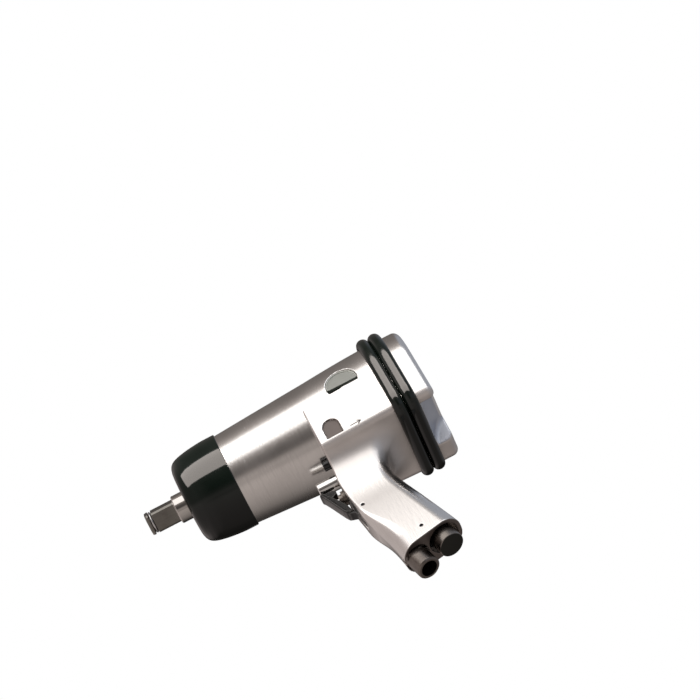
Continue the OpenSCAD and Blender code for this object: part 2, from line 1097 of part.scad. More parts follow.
module inlet_screen() {
    color([0.6, 0.55, 0.4])
        at_end(inlet_a, inlet_thread_top - 9)
            difference() {
                cylinder(r = 5.55, h = 8.5);
                translate([0, 0, 0.8])
                    cylinder(r = 4.8, h = 8.5);
                for (x = [-2.4, 0, 2.4])
                    for (y = [-2.4, 0, 2.4])
                        translate([x, y, -1])
                            cylinder(r = 0.8, h = 3);
            }
}
inlet_screen();

// Exhaust ------------------------------------------------------------------------

neck_r = 8.8;
neck_c0 = 9.2;
neck_c1 = 13.2;
seal_c0 = 15;
seal_c1 = 17.2;
head_top = 19;
exhaust_out = 11.8;

module exhaust_deflector() {
    color([0.4, 0.36, 0.33])
        at_end(exhaust_a, 0)
            difference() {
                rotate_extrude()
                    polygon([
                        [0, -exhaust_out],
                        [exhaust_d / 2 - 0.6, -exhaust_out],
                        [exhaust_d / 2, 0.6 - exhaust_out],
                        [exhaust_d / 2, neck_c0],
                        [neck_r, neck_c0],
                        [neck_r, neck_c1],
                        [exhaust_bore_r - run, neck_c1],
                        [exhaust_bore_r - run, seal_c0],
                        [exhaust_bore_r - 1.8, seal_c0],
                        [exhaust_bore_r - 1.8, seal_c1],
                        [exhaust_bore_r - run, seal_c1],
                        [exhaust_bore_r - run, head_top],
                        [6.8, head_top],
                        [6.8, 3 - exhaust_out],
                        [0, 3 - exhaust_out]
                    ]);
                // outlet window away from the badge side
                translate([0, 10, -4.6])
                    cube([13, 12, 8], center = true);
            }
}
exhaust_deflector();

module exhaust_o_ring() {
    color([0.1, 0.1, 0.1])
        at_end(exhaust_a, (seal_c0 + seal_c1) / 2)
            rotate_extrude()
                translate([exhaust_bore_r - 0.95, 0])
                    circle(0.84, $fn = 32);
}
exhaust_o_ring();

module exhaust_retaining_pin() {
    color([0.65, 0.65, 0.66])
        at_end(keeper_a, keeper_c)
            rotate([90, 0, 0])
                cylinder(r = pin_r, h = 2 * handle_half - 2.4, center = true);
}
exhaust_retaining_pin();
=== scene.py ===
import json
import math
from functools import reduce

import bpy
import numpy as np
from mathutils import Matrix, Vector

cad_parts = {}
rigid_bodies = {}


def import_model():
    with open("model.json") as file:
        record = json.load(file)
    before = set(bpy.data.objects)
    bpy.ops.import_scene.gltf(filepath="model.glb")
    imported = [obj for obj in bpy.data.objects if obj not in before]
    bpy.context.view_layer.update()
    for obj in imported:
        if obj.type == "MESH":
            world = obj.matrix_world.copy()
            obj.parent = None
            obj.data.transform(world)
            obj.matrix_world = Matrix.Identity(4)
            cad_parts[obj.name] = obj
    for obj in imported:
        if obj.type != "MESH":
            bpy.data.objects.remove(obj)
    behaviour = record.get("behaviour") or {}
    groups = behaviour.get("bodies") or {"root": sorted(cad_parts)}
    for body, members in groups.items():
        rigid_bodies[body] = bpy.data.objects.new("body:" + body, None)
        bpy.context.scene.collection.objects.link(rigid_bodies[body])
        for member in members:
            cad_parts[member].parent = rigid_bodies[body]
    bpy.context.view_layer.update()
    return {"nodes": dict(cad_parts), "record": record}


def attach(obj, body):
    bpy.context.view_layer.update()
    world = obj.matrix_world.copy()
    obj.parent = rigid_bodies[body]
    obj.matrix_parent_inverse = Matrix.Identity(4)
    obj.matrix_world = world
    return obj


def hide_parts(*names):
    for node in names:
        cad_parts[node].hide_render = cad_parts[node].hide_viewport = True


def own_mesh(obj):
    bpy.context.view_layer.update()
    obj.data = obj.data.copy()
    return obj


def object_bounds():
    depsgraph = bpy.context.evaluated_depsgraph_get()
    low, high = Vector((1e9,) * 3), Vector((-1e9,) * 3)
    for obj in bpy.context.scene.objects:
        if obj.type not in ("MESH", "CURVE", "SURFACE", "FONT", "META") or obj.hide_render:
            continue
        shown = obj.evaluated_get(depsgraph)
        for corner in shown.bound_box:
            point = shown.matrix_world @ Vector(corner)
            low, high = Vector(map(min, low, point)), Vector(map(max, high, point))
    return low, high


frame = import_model()

MM = 0.001
COL = bpy.context.scene.collection

# ---------------------------------------------------------------- sizes
# Millimetres in the CAD frame: X runs from the drive's end to the rear, Z is up,
# and the badge is on the -Y side.

# Rear block and end cap: a round top and two lower corners. Each corner is its radius and the
# distance of its centre from the axis in y and z, at the block's front and at the joint and cap.
BODY_R = 52.6
BLOCK_X, JOINT_X, REAR_X = 167.8, 248.6, 276.9
BLOCK_CORNER, CAP_CORNER = (6.0, 34.5, 53.5), (7.0, 36.9, 54.0)
CAP_X = JOINT_X + 0.4

# Bumper rings, and the rounder outline that they follow
RING_R, RING_WIDE, RING_RISE, RING_PITCH = 5.2, 5.7, 2.4, 11.5
RING_CORNER_R, CORNER_Y, CORNER_Z = 14.0 + RING_RISE, 31.0, 47.0
FRONT_RING_X = JOINT_X + 0.85 - RING_PITCH / 2
REAR_RING_X = FRONT_RING_X + RING_PITCH

# Nose and barrel: the barrel starts under the boot's lip
NOSE_X, BARREL_X = 42.0, 86.6
BOOT_FRONT, BOOT_BACK, BOOT_LIP = 39.1, 87.2, 87.8
BOOT_HOLE_R = 13.65

# Raked end face of the handle, with places along it from END (A) and above it (C)
RAKE = math.radians(12.2)
END_X, END_Z = 209.88, -190.24
INLET_A, EXHAUST_A = -15.2, 12.7
RETAINER_A, RETAINER_C = 2.3, 11.2

# Trigger pin and the throttle valve's bore
PIVOT_X, PIVOT_Z = 175.5, -123.4
PIN_R = 1.55
THROTTLE_Z, THROTTLE_FLOOR_X = -88.0, 191.0

# Round hollows on the axis, for the nose bushing, the hammers and the motor: radius, start, end
HOLLOWS = [(17.0, 30.0, 67.0), (38.0, 66.0, 138.0), (42.3, 137.5, 260.0)]
# Bores into the front of the handle, for the throttle valve, the reverse valve and the oil plug:
# radius, floor in x, and centre in y and z
FRONT_BORES = [(7.0, THROTTLE_FLOOR_X, 0.0, THROTTLE_Z), (8.2, 214.0, 0.0, -65.0), (2.6, 186.0, -11.7, -52.5)]
# Bores up from the handle's end face: place along it, radius and depth
END_BORES = [(INLET_A, 11.7, 6.0), (INLET_A, 8.35, 21.0), (EXHAUST_A, 14.2, 23.0), (EXHAUST_A, 7.5, 91.0)]
# Slot for the trigger's tongue: half width in y, middle and half height in z, and floor in x
SLOT_HALF, SLOT_Z, SLOT_TALL, SLOT_FLOOR_X = 5.2, -120.5, 12.0, 182.5

# Cap screws: distance from the axis, and turns about it
SCREW_RING = 47.0
SCREW_TURNS = [math.radians(t) for t in (47, 133, 229, 311)]
SCREWS = [(SCREW_RING * math.cos(t), SCREW_RING * math.sin(t)) for t in SCREW_TURNS]

# Arched recess on the -Y side: its floor leans by ARCH_TILT
ARCH_X, ARCH_Y, ARCH_Z = 183.3, -40.05, -44.9
ARCH_HALF, ARCH_RISE, ARCH_DROP = 7.8, 1.8, 9.6
ARCH_TILT = math.radians(14.5)

# Badge recess: a disc cut off straight below
BADGE_X, BADGE_Z, BADGE_R = 210.0, -6.3, 15.1
BADGE_LOW_Z, BADGE_FLOOR_Y = -11.7, -48.4

# Scoop in the end cap: a cylinder along Y between an upright wall and a leaning one
SCOOP_X, SCOOP_Z, SCOOP_R = 291.0, -68.0, 32.0
SCOOP_NEAR_Y, SCOOP_LEAN, SCOOP_LEAN_AT = -33.0, 0.5, -10.0


# ---------------------------------------------------------------- fields
# A field gives the distance to a surface, negative inside. p is (x, y, z) as arrays.
def smin(a, b, k):
    """Smaller of two distances, blended over k."""
    h = np.maximum(k - np.abs(a - b), 0) / k
    return np.minimum(a, b) - h * h * k * 0.25


def smax(a, b, k):
    """Larger of two distances, blended over k."""
    return -smin(-a, -b, k)


def union(*fields):
    return reduce(np.minimum, fields)


def common(*fields):
    return reduce(np.maximum, fields)


def round_corner(a, b, r):
    """Inside of both a and b, with their common edge rounded to r."""
    qa, qb = a + r, b + r
    return np.hypot(np.maximum(qa, 0), np.maximum(qb, 0)) + np.minimum(np.maximum(qa, qb), 0) - r


def bar_x(p, r, x0, x1, y=0.0, z=0.0):
    """Round bar along X with slightly broken edges."""
    middle, half = (x0 + x1) / 2, (x1 - x0) / 2
    return smax(np.hypot(p[1] - y, p[2] - z) - r, np.abs(p[0] - middle) - half, 0.3)


def bar_y(u, v, y, r, half):
    """Round bar along Y; u and v are the distances from its axis."""
    return np.maximum(np.hypot(u, v) - r, np.abs(y) - half)


def end_frame(p):
    """Distance along the handle's end face, and height above it."""
    dx, dz = p[0] - END_X, p[2] - END_Z
    c, s = math.cos(RAKE), math.sin(RAKE)
    return dx * c + dz * s, -dx * s + dz * c


def end_bore(p, along, r, depth):
    """Round bore square to the handle's end face, open below it."""
    a, c = end_frame(p)
    open_to = -5.0
    middle, half = (open_to + depth) / 2, (depth - open_to) / 2
    return np.maximum(np.hypot(a - along, p[1]) - r, np.abs(c - middle) - half)


def round_cone(y, z, cy, cz, r1, r2):
    """Distance to two circles and their common tangent; y is not negative."""
    h = np.hypot(cy, cz)
    uy, uz = cy / h, -cz / h
    along = y * uy + z * uz
    side = np.abs(y * uz - z * uy)
    b = (r1 - r2) / h
    a = np.sqrt(1 - b * b)
    k = -b * side + a * along
    mid = a * side + b * along - r1
    low = np.hypot(y, z) - r1
    high = np.hypot(y - cy, z + cz) - r2
    return np.where(k < 0, low, np.where(k > a * h, high, mid))


def outline(p, top_r, corner_r, cy, cz):
    """Section with a round top and two lower corners at (+-cy, -cz)."""
    y = np.abs(p[1])
    floor = np.hypot(np.maximum(y - cy, 0), p[2] + cz) - corner_r
    return np.minimum(round_cone(y, p[2], cy, cz, top_r, corner_r), floor)


def smooth_curve(*points):
    """Smooth curve through (place, value) points: cubic Hermite, level at its highs and lows."""
    xs, ys = np.array(points, float).T
    h = np.diff(xs)
    s = np.diff(ys) / h
    inner = (s[:-1] * h[1:] + s[1:] * h[:-1]) / (h[:-1] + h[1:])
    inner[s[:-1] * s[1:] <= 0] = 0
    m = np.concatenate([[s[0]], inner, [s[-1]]])

    def at(x):
        x = np.clip(x, xs[0], xs[-1])
        i = np.clip(np.searchsorted(xs, x, side="right") - 1, 0, len(h) - 1)
        t = (x - xs[i]) / h[i]
        a, b = ys[i], ys[i + 1]
        return (
            a * (1 + 2 * t) * (1 - t) ** 2 + b * t * t * (3 - 2 * t)
            + h[i] * (m[i] * t * (1 - t) ** 2 - m[i + 1] * t * t * (1 - t))
        )

    return at


# Radii along X
barrel_r = smooth_curve(
    (88, 43.4), (91, 43.6), (120, 45.45), (141, 46.7), (160, 47.9), (179, 49.0), (195, 50.15),
    (212, 51.2), (229, 52.0), (249, 52.6),
)
under_boot_r = smooth_curve(
    (42, 34.5), (45, 37.5), (49, 38.7), (56, 40.2), (67, 41.9), (80, 42.8), (89, 42.8)
)
boot_r = smooth_curve(
    (39.1, 25.0), (39.3, 29.0), (39.9, 32.6), (41.0, 35.6), (42.8, 38.0), (45.2, 39.7), (49.0, 41.2),
    (56.0, 42.8), (67.0, 44.3), (78.0, 45.0), (87.2, 45.0),
)
# Handle by height: front and rear edge in x, half width in y, and the rounding of its edges
handle_front = smooth_curve(
    (-200, 183.4), (-190, 182.4), (-177, 180.6), (-165, 178.3), (-156, 176.0), (-147, 173.4), (-131, 170.0),
    (-118, 168.6), (-102, 166.8), (-86, 165.9), (-75, 166.6), (-60, 167.7), (-40, 167.8),
)
handle_rear = smooth_curve(
    (-200, 244.5), (-176, 237.6), (-156, 231.4), (-141, 226.6), (-126, 221.6), (-110, 216.4),
    (-98, 213.4), (-88, 212.6), (-78, 214.6), (-68, 219.5), (-58, 227.0), (-48, 238.0),
)
handle_half = smooth_curve(
    (-200, 17.3), (-130, 17.3), (-100, 17.9), (-88, 19.0), (-76, 21.2), (-66, 24.2), (-56, 27.0), (-46, 28.0)
)
front_round = smooth_curve(
    (-200, 16.0), (-178, 16.0), (-160, 13.5), (-147, 10.0), (-131, 5.0), (-118, 3.0), (-60, 2.5)
)
rear_round = smooth_curve((-200, 16.2), (-150, 15.5), (-110, 14.0), (-80, 13.0), (-50, 13.0))


# ---------------------------------------------------------------- housing
def handle_field(p):
    x, y, z = p[0], np.abs(p[1]), p[2]
    x0, x1, half = handle_front(z), handle_rear(z), handle_half(z)
    r = np.where(x < (x0 + x1) / 2, front_round(z), rear_round(z))
    r = np.minimum(r, half - 0.2)
    return round_corner(np.abs(x - (x0 + x1) / 2) - (x1 - x0) / 2, y - half, r)


def casting_field(p):
    """Nose, barrel, rear block and handle as one solid, before anything is cut."""
    x, y, z = p
    r = np.hypot(y, z)
    barrel = np.maximum(r - barrel_r(x), BARREL_X - x)
    nose = np.maximum(r - under_boot_r(x), NOSE_X - x)
    t = np.clip((x - BLOCK_X) / (JOINT_X - BLOCK_X), 0, 1)
    corner = [a + (b - a) * t for a, b in zip(BLOCK_CORNER, CAP_CORNER)]
    edge_r = 1.6
    block = smax(outline(p, barrel_r(x), *corner), BLOCK_X - x, edge_r)
    body = np.minimum(barrel, block)
    # the handle flows into the block, and the blend fades in from fade_z down
    flow_r, fade_z, fade_length = 15.0, -44.0, 16.0
    fade = np.clip((fade_z - z) / fade_length, 0, 1)
    fade = fade * fade * (3 - 2 * fade)
    joined = body + (smin(body, handle_field(p), flow_r) - body) * fade
    # but its front face stays flat, right up to the barrel
    front_x, reach = handle_front(z), 3.0
    flat = np.minimum(body, smax(joined, front_x - x, edge_r))
    return np.minimum(np.where(x < front_x + reach, flat, joined), nose)


def bores_field(p):
    """Bores, pin holes, screw holes and the trigger slot, all of which open to the outside."""
    x, y, z = p
    a, c = end_frame(p)
    in_front, past_joint, across = 150.0, 260.0, 40.0
    screw_r, screw_depth = 3.02, 18.0
    slot = common(np.abs(y) - SLOT_HALF, np.abs(z - SLOT_Z) - SLOT_TALL, x - SLOT_FLOOR_X)
    trigger_pin = bar_y(x - PIVOT_X, z - PIVOT_Z, y, PIN_R, across)
    exhaust_pin = bar_y(a - RETAINER_A, c - RETAINER_C, y, PIN_R, across)
    front_bores = [bar_x(p, r, in_front, floor_x, *at) for r, floor_x, *at in FRONT_BORES]
    end_bores = [end_bore(p, *bore) for bore in END_BORES]
    screw_holes = [bar_x(p, screw_r, JOINT_X - screw_depth, past_joint, *at) for at in SCREWS]
    return union(slot, trigger_pin, exhaust_pin, *front_bores, *end_bores, *screw_holes)


def arch_field(p):
    """Arched pad recess."""
    across, dy, dz = p[0] - ARCH_X, p[1] - ARCH_Y, p[2] - ARCH_Z
    up = -dy * math.sin(ARCH_TILT) + dz * math.cos(ARCH_TILT)
    out = -dy * math.cos(ARCH_TILT) - dz * math.sin(ARCH_TILT)
    arch = np.where(up > ARCH_RISE, np.hypot(across, up - ARCH_RISE), np.abs(across)) - ARCH_HALF
    return common(arch, -ARCH_DROP - up, -out)


def badge_field(p):
    """Recess of the badge."""
    disc = np.hypot(p[0] - BADGE_X, p[2] - BADGE_Z) - BADGE_R
    return common(disc, BADGE_LOW_Z - p[2], p[1] - BADGE_FLOOR_Y)


def ring_groove(p, x):
    """Groove for a bumper ring centred at x."""
    ring = outline(p, BODY_R + RING_RISE, RING_CORNER_R, CORNER_Y, CORNER_Z)
    return np.hypot(ring, p[0] - x) - RING_R


def housing_field(p):
    _, above_end = end_frame(p)
    d = smax(casting_field(p), -above_end, 0.9)
    d = common(d, p[0] - JOINT_X, *(-bar_x(p, *hollow) for hollow in HOLLOWS))
    d = smax(d, -bores_field(p), 0.5)
    d = smax(d, -arch_field(p), 0.6)
    d = smax(d, -badge_field(p), 0.5)
    return np.maximum(d, -ring_groove(p, FRONT_RING_X))


# ---------------------------------------------------------------- end cap
def cap_screw_hole(p, skin, y, z):
    """Screw hole and counterbore, which breaks out through the rounded rim as a short notch."""
    bore_r, head_r, notch_r = 3.2, 5.4, 5.0
    ahead, past_rear = 240.0, 290.0
    head_depth, notch_depth, wall, outward = 12.0, 4.5, 0.9, 1.03
    hole = union(
        bar_x(p, bore_r, ahead, past_rear, y, z),
        bar_x(p, head_r, REAR_X - head_depth, past_rear, y, z),
    )
    # deeper than the notch, a thin wall stays between the counterbore and the skin
    no_limit = -9.0
    hole = np.maximum(hole, np.where(p[0] < REAR_X - notch_depth, skin + wall, no_limit))
    return union(hole, bar_x(p, notch_r, REAR_X - notch_depth, past_rear, y * outward, z * outward))


def cap_field(p):
    x, y, z = p
    skin = outline(p, BODY_R, *CAP_CORNER)
    rim_r, rear_x = 6.5, REAR_X - 0.1
    body = np.maximum(round_corner(skin, x - rear_x, rim_r), CAP_X - x)
    bearing_bore = bar_x(p, 40.8, 240.0, CAP_X + 12)
    body = common(body, -bearing_bore, -ring_groove(p, REAR_RING_X))
    body = smax(body, -union(*(cap_screw_hole(p, skin, *at) for at in SCREWS)), 0.6)
    walls = np.maximum(y + SCOOP_LEAN * z - SCOOP_LEAN_AT, SCOOP_NEAR_Y - y)
    scoop = smax(np.hypot(x - SCOOP_X, z - SCOOP_Z) - SCOOP_R, walls, 4.0)
    return smax(body, -scoop, 1.6)


# ---------------------------------------------------------------- trigger
# Outlines in (x, z): the pressed front plate, the side flanges and three parts of the web
TRIGGER_PLATE = [
    (149.4, -75), (147.3, -75.4), (146.3, -77), (148.2, -80.1), (151.4, -88.4), (154.7, -97.6),
    (158.1, -106.8), (160.1, -110.7), (162.6, -112.4), (164.9, -112.6), (166.2, -113.6), (166.4, -111.4),
    (165, -110.2), (163.2, -109.8), (161.5, -108.3), (160.2, -105.9), (157, -96.8), (153.7, -87.6),
    (150.5, -79.3),
]
TRIGGER_FLANGE = [
    (149.2, -75.4), (151.5, -78.5), (154.7, -84.3), (160, -93.7), (163, -100.5), (165, -107),
    (166.2, -111.8), (164.4, -112), (160.8, -110.2), (158.8, -106.2), (152.1, -87.8), (148.6, -78.9),
]
TRIGGER_TONGUE = [
    (155.4, -98), (160, -99.5), (164.5, -107.5), (173.5, -118.5), (178, -118.9), (180.5, -122),
    (180.5, -125), (178, -127.9), (172.5, -127.5), (170.3, -126.6), (169.7, -123.6), (168.8, -118.8),
    (167.2, -115.3), (164.9, -114), (162.6, -113.2), (160.3, -110.6),
]
TRIGGER_HEAD = [(149.6, -75.6), (158.5, -76.2), (161.2, -79), (160.8, -81.6), (157, -84.2), (152.6, -84.6)]
TRIGGER_FOOT = [(159, -97.2), (163.8, -98.4), (165.2, -106), (165.6, -111.6), (162.6, -110.4)]


def poly_field(u, v, pts):
    """Distance to a closed polygon, negative inside."""
    d = np.full(u.shape, 1e9, dtype=np.float32)
    inside = np.zeros(u.shape, dtype=bool)
    for i, (ax, ay) in enumerate(pts):
        bx, by = pts[(i + 1) % len(pts)]
        ex, ey = bx - ax, by - ay
        wx, wy = u - ax, v - ay
        t = np.clip((wx * ex + wy * ey) / (ex * ex + ey * ey), 0, 1)
        d = np.minimum(d, np.hypot(wx - ex * t, wy - ey * t))
        crosses = (ay > v) != (by > v)
        if ey != 0:
            inside ^= crosses & (u < ex * (v - ay) / ey + ax)
    return np.where(inside, -d, d)


def trigger_field(p):
    x, y, z = p
    side = np.abs(y)
    plate_half, flange_mid, flange_half, tongue_half, web_half = 6.0, 5.5, 0.5, 4.6, 4.2
    # the front face is crowned across its width
    crown = 0.01 * y * y
    plate = smax(poly_field(x, z, TRIGGER_PLATE) + crown, side - plate_half, 1.4)
    flange = smax(poly_field(x, z, TRIGGER_FLANGE), np.abs(side - flange_mid) - flange_half, 0.4)
    web = union(
        smax(poly_field(x, z, TRIGGER_TONGUE), side - tongue_half, 0.6),
        smax(poly_field(x, z, TRIGGER_HEAD), side - web_half, 0.8),
        smax(poly_field(x, z, TRIGGER_FOOT), side - web_half, 0.8),
    )
    fillet = 0.8
    lever = smin(smin(plate, flange, fillet), web, fillet)
    return np.maximum(lever, PIN_R - np.hypot(x - PIVOT_X, z - PIVOT_Z))


# ---------------------------------------------------------------- meshes
GRID_CORNERS = [(i, j, k) for i in (0, 1) for j in (0, 1) for k in (0, 1)]


def finish_mesh(name, verts, faces, normals=None):
    """Smooth-shaded object from metres, with the field's own normals where they are given."""
    me = bpy.data.meshes.new(name)
    me.from_pydata(verts, [], faces)
    me.validate()
    for poly in me.polygons:
        poly.use_smooth = True
    ob = bpy.data.objects.new(name, me)
    COL.objects.link(ob)
    if normals is not None and len(me.vertices) == len(normals):
        me.normals_split_custom_set_from_vertices([Vector(n) for n in normals])
    return ob


def sample(field, axes, slab=24):
    """Field on a grid, worked out a slab at a time to save memory."""
    value = np.empty([len(a) for a in axes], dtype=np.float32)
    for i in range(0, len(axes[0]), slab):
        grid = np.meshgrid(axes[0][i : i + slab], axes[1], axes[2], indexing="ij")
        value[i : i + slab] = field(tuple(g.astype(np.float32) for g in grid))
    return value


def net_points(value):
    """One point in each cell that the surface crosses, in cells, and each cell's point number or -1."""
    inside = value < 0
    size = [n - 1 for n in value.shape]
    count_in = np.zeros(size, dtype=np.int16)
    for i, j, k in GRID_CORNERS:
        count_in += inside[i : size[0] + i, j : size[1] + j, k : size[2] + k]
    crossed = (count_in > 0) & (count_in < 8)
    cells = np.argwhere(crossed)
    number = np.full(crossed.shape, -1, dtype=np.int64)
    number[crossed] = np.arange(len(cells))
    total = np.zeros((len(cells), 3))
    count = np.zeros(len(cells))
    for start in GRID_CORNERS:
        for axis in range(3):
            if start[axis]:
                continue
            end = list(start)
            end[axis] = 1
            va = value[tuple((cells + start).T)]
            vb = value[tuple((cells + end).T)]
            hit = (va < 0) != (vb < 0)
            point = np.array(start, float)[None, :].repeat(len(cells), 0)
            point[:, axis] += np.where(hit, va / np.where(va == vb, 1, va - vb), 0)
            total[hit] += point[hit]
            count[hit] += 1
    return cells + total / count[:, None], number


def net_faces(inside, number):
    """One quad for each grid edge that the surface crosses."""
    faces = []
    for axis in range(3):
        u, w = (axis + 1) % 3, (axis + 2) % 3
        here, there = [slice(None)] * 3, [slice(None)] * 3
        here[axis], there[axis] = slice(0, -1), slice(1, None)
        first = inside[tuple(here)]
        e = np.argwhere(first != inside[tuple(there)])
        within = (e[:, u] > 0) & (e[:, w] > 0)
        within &= (e[:, u] < inside.shape[u] - 1) & (e[:, w] < inside.shape[w] - 1)
        e = e[within]
        outward = first[tuple(e.T)]
        quad = []
        for du, dw in ((-1, -1), (0, -1), (0, 0), (-1, 0)):
            cell = e.copy()
            cell[:, u] += du
            cell[:, w] += dw
            quad.append(number[tuple(cell.T)])
        quad = np.stack(quad, 1)
        quad[~outward] = quad[~outward][:, ::-1]
        faces.append(quad)
    return np.concatenate(faces)


def gradient(field, v, h):
    """Slope of the field at points v, by differences over h either way."""
    g = np.empty_like(v)
    for axis in range(3):
        d = np.zeros(3)
        d[axis] = h
        g[:, axis] = (field((v + d).T) - field((v - d).T)) / (2 * h)
    return g


def field_mesh(name, field, lo, hi, step):
    """Closed mesh of field = 0 by surface nets, moved onto the surface."""
    counts = [int(math.ceil((b - a) / step)) + 1 for a, b in zip(lo, hi)]
    value = sample(field, [a + step * np.arange(n) for a, n in zip(lo, counts)])
    cells, number = net_points(value)
    verts = cells * step + np.array(lo)
    longest_move = 0.45 * step
    for _ in range(2):
        g = gradient(field, verts, 0.05)
        move = -(field(verts.T) / np.maximum((g * g).sum(1), 0.25))[:, None] * g
        length = np.linalg.norm(move, axis=1, keepdims=True)
        verts = verts + move * np.minimum(1, longest_move / np.maximum(length, 1e-9))
    normals = gradient(field, verts, 0.12)
    normals /= np.maximum(np.linalg.norm(normals, axis=1, keepdims=True), 1e-9)
    return finish_mesh(name, (verts * MM).tolist(), net_faces(value < 0, number).tolist(), normals)


def ring_mesh(name, rings, closed=True, flip=False):
    """Tube through rings of points in millimetres; an open tube gets flat ends."""
    count, sides = len(rings), len(rings[0])
    faces = []
    for i in range(count if closed else count - 1):
        j = (i + 1) % count
        for k in range(sides):
            m = (k + 1) % sides
            quad = (i * sides + k, i * sides + m, j * sides + m, j * sides + k)
            faces.append((quad[0], quad[3], quad[2], quad[1]) if flip else quad)
    if not closed:
        faces.append(tuple(reversed(range(sides))))
        faces.append(tuple(range((count - 1) * sides, count * sides)))
    ob = finish_mesh(name, [tuple(c * MM for c in v) for ring in rings for v in ring], faces)
    if not closed:
        for poly in ob.data.polygons[-2:]:
            poly.use_smooth = False
    return ob


def lathe(name, profile, sides):
    """Solid of revolution about X from (x, r) points in order along its outline."""
    turns = [2 * math.pi * i / sides for i in range(sides)]
    return ring_mesh(name, [[(x, r * math.cos(t), r * math.sin(t)) for x, r in profile] for t in turns])


def outline_path():
    """Points along the bumper rings' outline, with outward normals, in (y, z)."""
    r1, r2 = BODY_R + RING_RISE, RING_CORNER_R
    dist = math.hypot(CORNER_Y, CORNER_Z)
    tilt = math.asin((r1 - r2) / dist) - math.atan(CORNER_Y / CORNER_Z)
    pts = []

    def arc(cy, cz, r, a0, a1, count):
        for i in range(count):
            a = a0 + (a1 - a0) * i / count
            pts.append((cy + r * math.cos(a), cz + r * math.sin(a), math.cos(a), math.sin(a)))

    def line(p, q, ny, nz, count):
        for i in range(count):
            t = i / count
            pts.append((p[0] + (q[0] - p[0]) * t, p[1] + (q[1] - p[1]) * t, ny, nz))

    cn, sn = math.cos(tilt), -math.sin(tilt)
    arc(0, 0, r1, -tilt, math.pi + tilt, 110)
    line((-r1 * cn, r1 * sn), (-CORNER_Y - r2 * cn, -CORNER_Z + r2 * sn), -cn, sn, 16)
    arc(-CORNER_Y, -CORNER_Z, r2, math.pi + tilt, 1.5 * math.pi, 16)
    line((-CORNER_Y, -CORNER_Z - r2), (CORNER_Y, -CORNER_Z - r2), 0, -1, 20)
    arc(CORNER_Y, -CORNER_Z, r2, -0.5 * math.pi, -tilt, 16)
    line((CORNER_Y + r2 * cn, -CORNER_Z + r2 * sn), (r1 * cn, r1 * sn), cn, sn, 16)
    return pts


def bumper(name, x, sides=28):
    """Rubber ring around the body; its section is wider along X than across."""
    turns = [2 * math.pi * k / sides for k in range(sides)]

    def section(y, z, ny, nz):
        rise = [RING_R * math.cos(t) for t in turns]
        return [(x + RING_WIDE * math.sin(t), y + ny * d, z + nz * d) for t, d in zip(turns, rise)]

    return ring_mesh(name, [section(*point) for point in outline_path()], flip=True)


def coil(name, x0, x1, z, radius, wire, turns, sides=12, steps=24):
    """Round wire wound about an axis along X, steps to a turn."""
    pitch = (x1 - x0 - 2 * wire) / turns
    rings = []
    for i in range(steps * turns + 1):
        t = 2 * math.pi * i / steps
        out = Vector((0, math.cos(t), math.sin(t)))
        tangent = Vector((pitch / (2 * math.pi), -radius * math.sin(t), radius * math.cos(t))).normalized()
        other = tangent.cross(out)
        at = Vector((x0 + wire + pitch * i / steps, 0, z)) + out * radius
        around = [2 * math.pi * k / sides for k in range(sides)]
        rings.append([at + out * (wire * math.cos(a)) + other * (wire * math.sin(a)) for a in around])
    return ring_mesh(name, rings, closed=False)


def boot_profile(steps=70, crowding=2.2):
    """Outline of the boot in (x, r): front hole, rounded outside, lip, and inside on the nose."""
    chamfer, gap = 0.3, 0.05
    hole = [(NOSE_X, BOOT_HOLE_R), (BOOT_FRONT + 0.25, BOOT_HOLE_R), (BOOT_FRONT, BOOT_HOLE_R + chamfer)]
    face = [(BOOT_FRONT, 20.0)]
    # points lie closer together near the rounded front
    places = [BOOT_FRONT + (BOOT_BACK - BOOT_FRONT) * (i / steps) ** crowding for i in range(steps + 1)]
    outside = [(x, float(boot_r(x))) for x in places]
    lip = [(BOOT_LIP - 0.2, 44.8), (BOOT_LIP, 44.4), (BOOT_LIP, 42.85)]
    inside = [(x, float(under_boot_r(x)) + gap) for x in (80, 74, 67, 61, 56, 52, 49, 47, 45)]
    return hole + face + outside + lip + inside + [(NOSE_X - gap, 34.5)]


